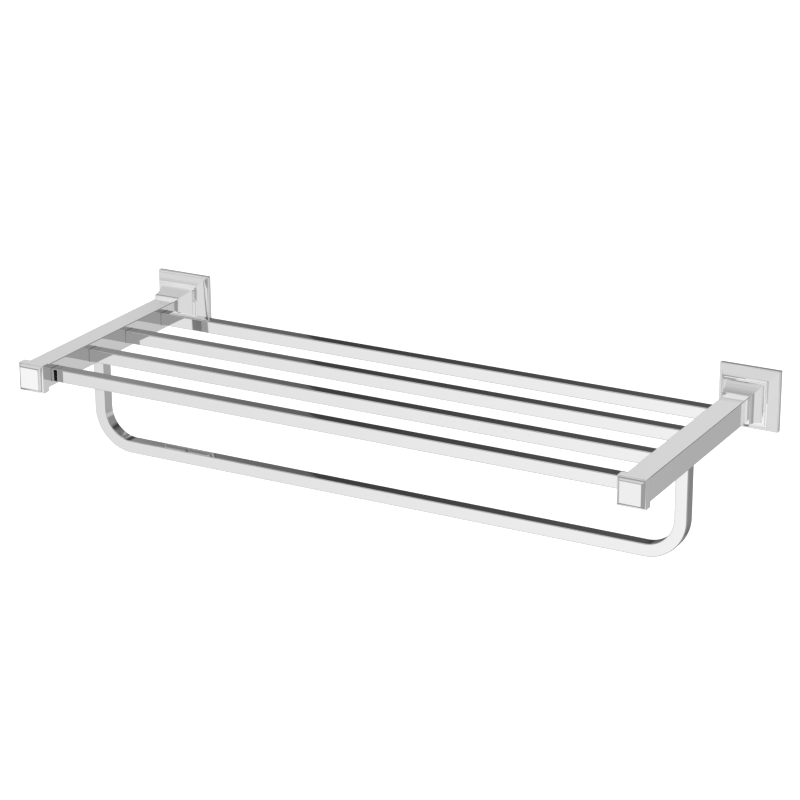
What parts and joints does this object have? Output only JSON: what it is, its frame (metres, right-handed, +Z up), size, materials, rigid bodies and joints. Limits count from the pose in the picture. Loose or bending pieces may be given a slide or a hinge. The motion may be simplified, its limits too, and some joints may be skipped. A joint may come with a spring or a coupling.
{
  "type": "towel rack",
  "caption": "Wall-mounted towel shelf: square arms on stepped rosettes carry parallel square rails, with a U-shaped towel bar hanging below.",
  "frame": {"origin": "on the wall plane, midway between the two arm axes and at their height, which is the centre of the wall hole pattern", "axes": "+X to the right along the wall, +Y into the wall, +Z up; the rack stands out from the wall toward -Y"},
  "size_m": [0.658, 0.266, 0.133],
  "materials": {
    "chrome_casting": "polished chrome plate on zinc castings",
    "chrome_arm": "polished chrome plate on brass tube",
    "chrome_rail": "polished chrome plate on brass tube",
    "chrome_bar": "polished chrome plate on brass tube",
    "bracket_steel": "plain zinc-plated sheet steel",
    "screw_steel": "stainless steel",
    "insert_brass": "turned brass",
    "pad_rubber": "matt black rubber"
  },
  "bodies": {
    "root": {"wall_bracket_left": "bracket_steel", "bracket_pad_left": "pad_rubber", "rosette_left": "chrome_casting", "arm_insert_left": "insert_brass", "arm_left": "chrome_arm", "end_cap_left": "chrome_casting", "rail_plugs_left": "insert_brass", "wall_bracket_right": "bracket_steel", "bracket_pad_right": "pad_rubber", "rosette_right": "chrome_casting", "arm_insert_right": "insert_brass", "arm_right": "chrome_arm", "end_cap_right": "chrome_casting", "rail_plugs_right": "insert_brass", "rosette_grub_screws": "screw_steel", "arm_screws": "screw_steel", "arm_washers": "screw_steel", "rail_1": "chrome_rail", "rail_2": "chrome_rail", "rail_3": "chrome_rail", "rail_4": "chrome_rail", "towel_bar": "chrome_bar", "bar_plugs": "insert_brass"}
  },
  "joints": []
}
